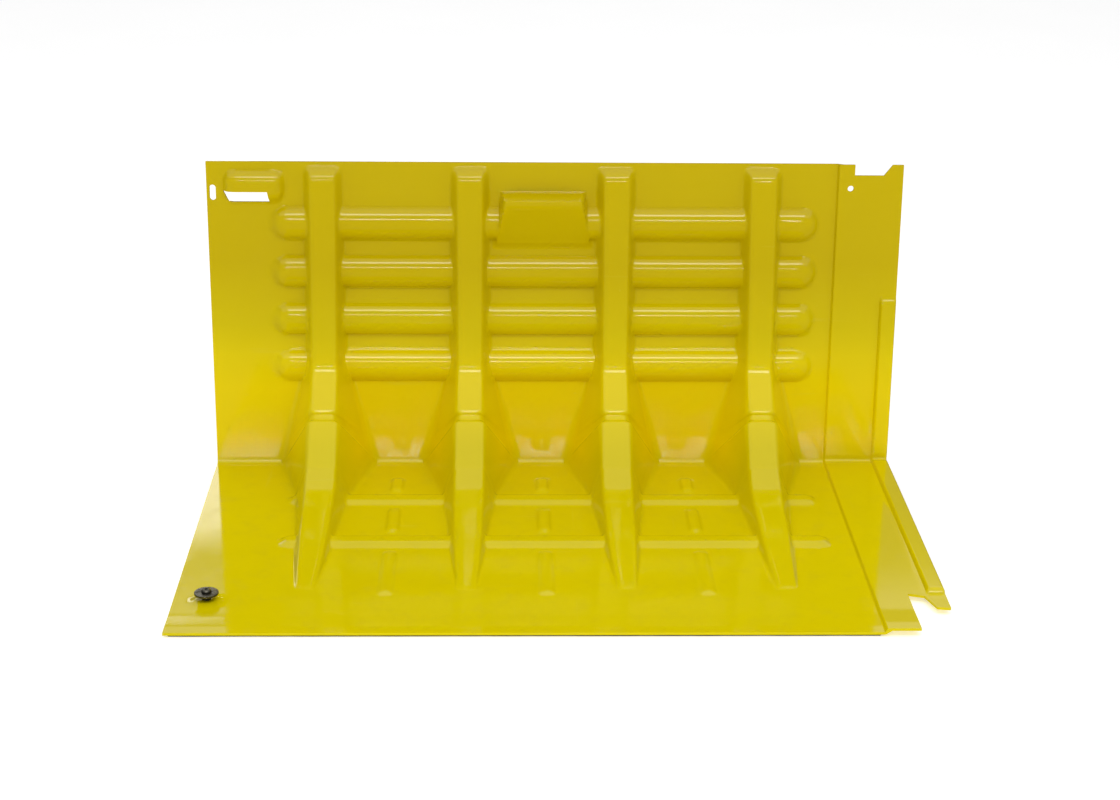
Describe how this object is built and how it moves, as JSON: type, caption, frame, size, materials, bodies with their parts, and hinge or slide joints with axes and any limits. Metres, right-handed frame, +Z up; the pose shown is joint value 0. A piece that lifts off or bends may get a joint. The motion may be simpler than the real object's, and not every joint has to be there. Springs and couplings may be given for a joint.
{
  "type": "flood barrier panel",
  "caption": "Free-standing L-shaped flood barrier panel formed from one yellow plastic sheet, with hollow buttresses, beads, a handhold, foam seals and a linking stud.",
  "frame": {"origin": "centre of the overall box on the ground", "axes": "+Z up, +X along the barrier towards the raised overlap strip, +Y towards the wall and the dry side"},
  "size_m": [1.144, 0.68, 0.528],
  "materials": {
    "sheet_plastic": "glossy thermoformed sheet with a fine grain",
    "foam": "closed-cell foam",
    "collar_rubber": "satin",
    "steel": "zinc plated, handled"
  },
  "bodies": {
    "panel": {"barrier_shell": "sheet_plastic", "front_seal": "foam", "joint_seal": "foam", "spacer_collar": "collar_rubber", "backing_washer": "steel", "lock_nut": "steel"},
    "disc": {"clamp_disc": "steel"},
    "screw": {"clamp_screw": "steel"}
  },
  "joints": [
    {"name": "disc_lift", "type": "slide", "parent": "panel", "child": "disc", "axis": [0, 0, 1], "range_m": [-0.00098, 0.002]},
    {"name": "screw_turn", "type": "hinge", "parent": "disc", "child": "screw", "pos_m": [-0.522, -0.232, 0], "axis": [0, 0, 1], "range_deg": [-283, 577]}
  ],
  "couplings": [
    {"joint": "screw_turn", "follows": "disc_lift", "rad_per_m": 5026.5}
  ]
}
